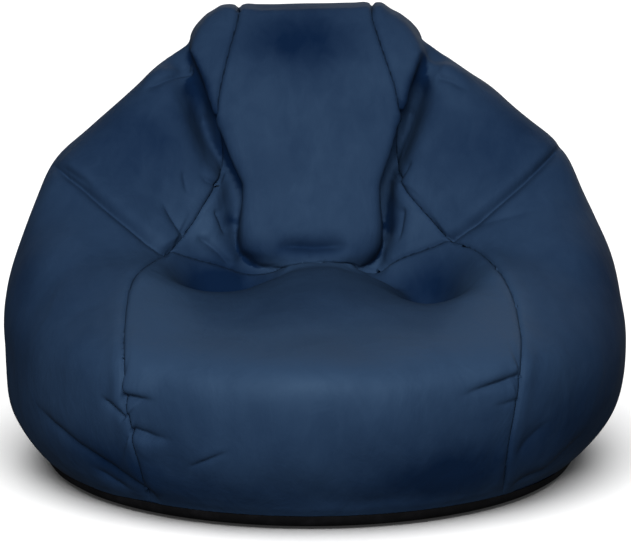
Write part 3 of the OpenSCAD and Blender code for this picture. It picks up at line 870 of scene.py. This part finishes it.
def twist():
    """Spun thread."""
    s = Shade("thread", roughness=0.6)
    at = s.place()
    ply = s.weave(at, 420.0, "DIAGONAL")
    return s.use(base_color=s.mix(ply, (0.001, 0.006, 0.024), (0.003, 0.016, 0.052)),
                 normal=s.bump(ply, 0.5, 0.0003))


def beads():
    """Expanded polystyrene beads."""
    s = Shade("beads", roughness=0.6, subsurface_weight=0.1)
    cells = s.node("ShaderNodeTexVoronoi", {"feature": "F1"}, {"Vector": s.place(), "Scale": 240.0})
    return s.use(base_color=s.mix(cells, (0.9, 0.9, 0.88), (0.62, 0.62, 0.60)),
                 normal=s.bump(1.0 - cells, 0.8, 0.003))


MAKERS = {
    "cover_cloth": suede,
    "base_cloth": base_weave,
    "thread": twist,
    "zip_tape": lambda: woven("zip_tape", (0.004, 0.004, 0.005), (0.012, 0.012, 0.013), 500.0),
    "zip_teeth": lambda: moulded("zip_teeth", (0.010, 0.010, 0.011), (0.03, 0.03, 0.032)),
    "zip_metal": lambda: moulded("zip_metal", (0.035, 0.035, 0.04), (0.12, 0.12, 0.125), 0.35, 0.6),
    "label_cloth": lambda: woven("label_cloth", (0.62, 0.61, 0.57), (0.80, 0.79, 0.75), 700.0),
    "liner_cloth": lambda: woven("liner_cloth", (0.66, 0.66, 0.63), (0.82, 0.82, 0.79), 420.0),
    "liner_coil": lambda: moulded("liner_coil", (0.62, 0.62, 0.60), (0.78, 0.78, 0.75)),
    "beads": beads,
}
MADE = {}


def material(slot_name):
    """The material of a slot, made once."""
    if slot_name not in MADE:
        MADE[slot_name] = MAKERS[slot_name]()
    return MADE[slot_name]


def dress(ob, slot_name):
    """Gives an object the material of a slot."""
    ob.data.materials.clear()
    ob.data.materials.append(material(slot_name))


def finish_piece(ob, slot_name, node):
    """Gives a piece the material of its slot and its body, and hides the frame node it stands for."""
    dress(ob, slot_name)
    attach(ob, "bag")
    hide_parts(node)


def add_object(name, bm, smooth_faces=True):
    """Links a bmesh as an object of that name."""
    for f in bm.faces:
        f.smooth = smooth_faces
    ob = bpy.data.objects.new(name, to_mesh(bm, name))
    bpy.context.scene.collection.objects.link(ob)
    return ob


def tube(bm, path, radius, closed=False):
    """Adds a round tube along a path."""
    turns = 6
    rings = []
    n = len(path)
    for k, q in enumerate(path):
        a = path[(k - 1) % n] if closed or k else path[0]
        b = path[(k + 1) % n] if closed or k < n - 1 else path[-1]
        along = (b - a).normalized()
        side = (side - along * side.dot(along)).normalized() if rings else along.orthogonal().normalized()
        up = along.cross(side)
        rings.append([bm.verts.new(q + (side * math.cos(w) + up * math.sin(w)) * radius)
                      for w in (2 * math.pi * t / turns for t in range(turns))])
    pairs = list(zip(rings, rings[1:])) + ([(rings[-1], rings[0])] if closed else [])
    for a, b in pairs:
        for t in range(turns):
            bm.faces.new((a[t], a[(t + 1) % turns], b[(t + 1) % turns], b[t]))
    if not closed:
        bm.faces.new(rings[0][::-1])
        bm.faces.new(rings[-1])


def base_half(side):
    """Half of the black base: a shallow dish from the hem in to the zip, with a folded edge at the slot."""
    slot_low, slot_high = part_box("base_zip_tape_rear")
    fold_z = slot_low[2]
    half_slot = slot_high[0] + SLOT_SPARE
    bm = bmesh.new()
    rings = []
    for r, h in DISH:
        ring = []
        for k in range(DISH_TURNS + 1):
            w = math.pi * k / DISH_TURNS
            x = math.cos(w) * HEM_R * r
            y = math.sin(w) * side * HEM_R * r
            out = 1 + RIPPLE * noise.noise(Vector((x * RIPPLE_SCALE, y * RIPPLE_SCALE, 0))) * h
            ring.append(bm.verts.new((x * out + lean(HEM_Z), y * out + HEM_Y, HEM_Z * h)))
        rings.append(ring)
    inner = rings[-1]
    for k in range(1, DISH_ROWS + 1):
        t = k / DISH_ROWS
        rings.append([bm.verts.new((v.co.x, v.co.y * (1 - t) + side * ZIP_GAP * t, 0.0)) for v in inner])
    fold = []
    for v in rings[-1]:
        if abs(v.co.x) < half_slot:
            fold.append(bm.verts.new((v.co.x, v.co.y, fold_z)))
        else:
            fold.append(bm.verts.new((v.co.x, v.co.y - side * FOLD_OVER, fold_z * FOLD_LOW)))
    rings.append(fold)
    for a, b in zip(rings, rings[1:]):
        for k in range(DISH_TURNS):
            bm.faces.new((a[k], b[k], b[k + 1], a[k + 1]))
    bmesh.ops.remove_doubles(bm, verts=bm.verts, dist=SMALL)
    bmesh.ops.recalc_face_normals(bm, faces=bm.faces)
    # The lowest face near the middle has to face the floor
    under = min(bm.faces, key=lambda f: f.calc_center_median().z + abs(f.calc_center_median().x))
    if under.normal.z > 0:
        bmesh.ops.reverse_faces(bm, faces=bm.faces)
    return bm


# The pairs of panel numbers that each kind of seam joins
SEAMS = {
    "seat": ((0, 3), (0, 4)),
    "back": ((1, 3), (1, 4)),
    "rear": ((2, 3), (2, 4)),
    "cross": ((0, 1), (1, 2)),
}


def chains_of(edges):
    """Rows of vertices along joined edges."""
    ends = {}
    for e in edges:
        for v in e.verts:
            ends.setdefault(v, []).append(e)
    chains = []
    used = set()
    for start in [v for v in ends if len(ends[v]) != 2] or list(ends)[:1]:
        for e in ends[start]:
            if e in used:
                continue
            chain = [start]
            v = start
            while e and e not in used:
                used.add(e)
                v = e.other_vert(v)
                chain.append(v)
                e = next((g for g in ends[v] if g not in used), None) if len(ends[v]) == 2 else None
            chains.append(chain)
    return chains


def seam_paths(name):
    """The thread of each seam of a kind, as points just under the surface of the sculpted bag."""
    bm = bmesh.new()
    bm.from_mesh(Bag.make())
    tag = bm.faces.layers.int["panel"]
    bm.normal_update()
    out = []
    for pair in SEAMS[name]:
        edges = [e for e in bm.edges
                 if len(e.link_faces) == 2 and tuple(sorted(f[tag] for f in e.link_faces)) == pair]
        chains = chains_of(edges)
        if chains:
            # The ends stop short, and the line is evened
            path = [v.co - v.normal * THREAD_SINK for v in max(chains, key=len)[2:-2]]
            for _ in range(3):
                inner = [(a + b * 2 + c) / 4 for a, b, c in zip(path, path[1:], path[2:])]
                path = path[:1] + inner + path[-1:]
            out.append(path)
    bm.free()
    return out


class BagSettings(bpy.types.PropertyGroup):
    """Sizes and colours of the cover."""

    groove: bpy.props.FloatProperty(
        name="Seam groove", description="Depth of the groove along each seam",
        default=0.0034, min=0.0, max=0.01, unit="LENGTH", subtype="DISTANCE")
    allowance: bpy.props.FloatProperty(
        name="Seam allowance", description="Width of cloth turned in at a seam",
        default=0.007, min=0.002, max=0.02, unit="LENGTH", subtype="DISTANCE")
    uneven: bpy.props.FloatProperty(
        name="Unevenness", description="Height of the soft lumps of the fill",
        default=0.004, min=0.0, max=0.02, unit="LENGTH", subtype="DISTANCE")
    # The two pile colours also serve as painted shade and painted light on the cover
    dark_pile_and_painted_shade: bpy.props.FloatVectorProperty(
        name="Pile, dark", description="Colour where the pile lies flat",
        default=(0.0002, 0.0070, 0.0300), min=0.0, max=1.0, subtype="COLOR")
    light_pile_and_painted_light: bpy.props.FloatVectorProperty(
        name="Pile, light", description="Colour where the pile stands up",
        default=(0.0215, 0.0465, 0.0960), min=0.0, max=1.0, subtype="COLOR")


class StageSettings(bpy.types.PropertyGroup):
    """Camera and light."""

    distance: bpy.props.FloatProperty(
        name="Camera distance", description="From the aim point to the camera",
        default=7.0, min=2.0, unit="LENGTH", subtype="DISTANCE")
    elevation: bpy.props.FloatProperty(
        name="Camera elevation", description="Above the horizon",
        default=math.radians(13.0), unit="ROTATION", subtype="ANGLE")
    sun: bpy.props.FloatProperty(
        name="Key strength", description="Strength of the soft front light",
        default=4.1, min=0.0)


class COVER_OT_panels(bpy.types.Operator):
    """Build the five sewn panels of the cover"""

    bl_idname = "bag.cover_panels"
    bl_label = "Cover panels"

    def execute(self, context):
        for name in PANELS:
            ob = panel_object(name)
            finish_piece(ob, "cover_cloth", name)
        return {"FINISHED"}


class COVER_OT_base(bpy.types.Operator):
    """Build the two halves of the base"""

    bl_idname = "bag.base_halves"
    bl_label = "Base halves"

    def execute(self, context):
        for name, side in (("base_panel_front", -1), ("base_panel_rear", 1)):
            ob = add_object(name + "_cloth", base_half(side))
            finish_piece(ob, "base_cloth", name)
        return {"FINISHED"}


class COVER_OT_threads(bpy.types.Operator):
    """Sew the seams"""

    bl_idname = "bag.seam_threads"
    bl_label = "Seam threads"

    def execute(self, context):
        for name in ("seat", "back", "rear", "cross"):
            bm = bmesh.new()
            for path in seam_paths(name):
                tube(bm, path, THREAD_R)
            finish_piece(add_object(f"{name}_seam_stitching", bm), "thread", f"{name}_seam_threads")
        bm = bmesh.new()
        turns = 240
        r = HEM_R - HEM_THREAD_IN
        ring = [Vector((math.cos(w) * r + lean(HEM_Z), math.sin(w) * r + HEM_Y, HEM_Z + THREAD_R / 2))
                for w in (2 * math.pi * k / turns for k in range(turns))]
        tube(bm, ring, THREAD_R, closed=True)
        finish_piece(add_object("base_seam_stitching", bm), "thread", "base_seam_thread")
        return {"FINISHED"}


def keep_inside(deep):
    """The bag pressed inward and smoothed, as a closed bmesh."""
    bm = union_form()
    p = coords(bm)
    p = p - normals(bm) * deep
    p[:, 2] = np.maximum(p[:, 2], LINER_FLOOR + (deep - LINER_IN))
    place(bm, p)
    relax(bm, bm.verts, 10)
    return bm


class COVER_OT_liner(bpy.types.Operator):
    """Build the liner bag and its bead fill"""

    bl_idname = "bag.liner_and_fill"
    bl_label = "Liner and fill"

    def execute(self, context):
        for name, piece, deep, slot_name in (("liner", "liner_bag", LINER_IN, "liner_cloth"),
                                             ("bead_fill", "loose_beads", BEADS_IN, "beads")):
            ob = add_object(piece, keep_inside(deep))
            finish_piece(ob, slot_name, name)
        return {"FINISHED"}


# The CAD parts that keep their shape, and the slot that each takes its finish from
RIGID = {
    "base_zip_tape_front": "zip_tape",
    "base_zip_tape_rear": "zip_tape",
    "base_zip_teeth_front": "zip_teeth",
    "base_zip_teeth_rear": "zip_teeth",
    "base_zip_stops": "zip_metal",
    "base_zip_slider": "zip_metal",
    "care_label": "label_cloth",
    "liner_zip_tape_front": "liner_cloth",
    "liner_zip_tape_rear": "liner_cloth",
    "liner_zip_coils": "liner_coil",
    "liner_zip_stops": "zip_metal",
    "liner_zip_slider": "zip_metal",
}


class COVER_OT_zips(bpy.types.Operator):
    """Finish the zips and the label"""

    bl_idname = "bag.zips"
    bl_label = "Zips and label"

    def execute(self, context):
        for name, slot_name in RIGID.items():
            dress(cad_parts[name], slot_name)
        return {"FINISHED"}


def add_sun(name, strength, softness, tilt, turn, receivers):
    """Adds a sun that lights only what its receivers collection says; angles in degrees."""
    light = bpy.data.lights.new(name, "SUN")
    light.energy = strength
    light.angle = math.radians(softness)
    ob = bpy.data.objects.new(name, light)
    ob.rotation_euler = (math.radians(tilt), 0, math.radians(turn))
    bpy.context.scene.collection.objects.link(ob)
    ob.light_linking.receiver_collection = receivers


def grey(value):
    """A grey colour."""
    return (value, value, value)


# Width of the view at the aim point, height of the aim point, and the camera's sensor in millimetres
VIEW_W = 0.9115
AIM_Z = 0.280
SENSOR = 36


class COVER_OT_stage(bpy.types.Operator):
    """Set the floor, the light and the camera"""

    bl_idname = "bag.stage"
    bl_label = "Stage"

    def execute(self, context):
        scene = context.scene
        settings = scene.bag_stage
        floor = self.add_floor()
        self.add_light(scene, settings, floor)
        self.add_camera(scene, settings)
        scene.view_settings.view_transform = "Standard"
        return {"FINISHED"}

    def add_floor(self):
        """A plain pale floor that throws no light back on the bag."""
        bm = bmesh.new()
        bmesh.ops.create_grid(bm, x_segments=1, y_segments=1, size=40)
        floor = add_object("floor", bm, False)
        s = Shade("floor", roughness=0.9, specular_ior_level=0.0, emission_strength=1.0)
        tone = s.noise(s.place(), 3.0, 2.0)
        floor.data.materials.append(s.use(base_color=s.mix(tone, grey(0.86), grey(0.90)),
                                          emission_color=s.mix(tone, grey(0.02), grey(0.03))))
        floor.visible_diffuse = False
        floor.visible_glossy = False
        return floor

    def add_light(self, scene, settings, floor):
        """A soft key in front, a fill behind, and a wash for the floor alone."""
        world = bpy.data.worlds.new("world")
        world.use_nodes = True
        background = world.node_tree.nodes["Background"]
        background.inputs["Color"].default_value = (0.93, 0.96, 1.0, 1)
        background.inputs["Strength"].default_value = 0.08
        scene.world = world
        floor_only = bpy.data.collections.new("floor_only")
        floor_only.objects.link(floor)
        all_but_floor = bpy.data.collections.new("all_but_floor")
        all_but_floor.objects.link(floor)
        all_but_floor.collection_objects[0].light_linking.link_state = "EXCLUDE"
        add_sun("key", settings.sun, 34, 90 - 27, -2, all_but_floor)
        add_sun("floor_wash", 4.6, 58, 25, 0, floor_only)
        add_sun("back_fill", 1.1, 60, 90 - 18, 170, all_but_floor)

    def add_camera(self, scene, settings):
        """The camera in front of the bag, aimed at its middle."""
        data = bpy.data.cameras.new("camera")
        data.lens = SENSOR * settings.distance / VIEW_W
        data.clip_end = 100
        cam = bpy.data.objects.new("camera", data)
        el = settings.elevation
        cam.location = Vector((0, 0, AIM_Z)) + settings.distance * Vector((0, -math.cos(el), math.sin(el)))
        cam.rotation_euler = (math.pi / 2 - el, 0, 0)
        scene.collection.objects.link(cam)
        scene.camera = cam


class COVER_PT_panel(bpy.types.Panel):
    """Sidebar panel of the bean bag"""

    bl_idname = "COVER_PT_panel"
    bl_label = "Bean bag"
    bl_space_type = "VIEW_3D"
    bl_region_type = "UI"
    bl_category = "Bean bag"

    def draw(self, context):
        col = self.layout.column()
        for key in ("groove", "allowance", "uneven", "dark_pile_and_painted_shade", "light_pile_and_painted_light"):
            col.prop(context.scene.bag_soft, key)
        for key in ("distance", "elevation", "sun"):
            col.prop(context.scene.bag_stage, key)
        for op in OPERATORS:
            col.operator(op.bl_idname)


OPERATORS = (COVER_OT_panels, COVER_OT_base, COVER_OT_threads, COVER_OT_liner, COVER_OT_zips, COVER_OT_stage)
CLASSES = (BagSettings, StageSettings) + OPERATORS + (COVER_PT_panel,)


def register():
    """Registers the classes and the scene's settings."""
    for c in CLASSES:
        bpy.utils.register_class(c)
    bpy.types.Scene.bag_soft = bpy.props.PointerProperty(type=BagSettings)
    bpy.types.Scene.bag_stage = bpy.props.PointerProperty(type=StageSettings)


def unregister():
    """Removes what register added."""
    del bpy.types.Scene.bag_soft
    del bpy.types.Scene.bag_stage
    for c in reversed(CLASSES):
        bpy.utils.unregister_class(c)


def main():
    """Builds the chair."""
    register()
    bpy.ops.bag.cover_panels()
    bpy.ops.bag.base_halves()
    bpy.ops.bag.seam_threads()
    bpy.ops.bag.liner_and_fill()
    bpy.ops.bag.zips()
    bpy.ops.bag.stage()


if __name__ == "__main__":
    main()
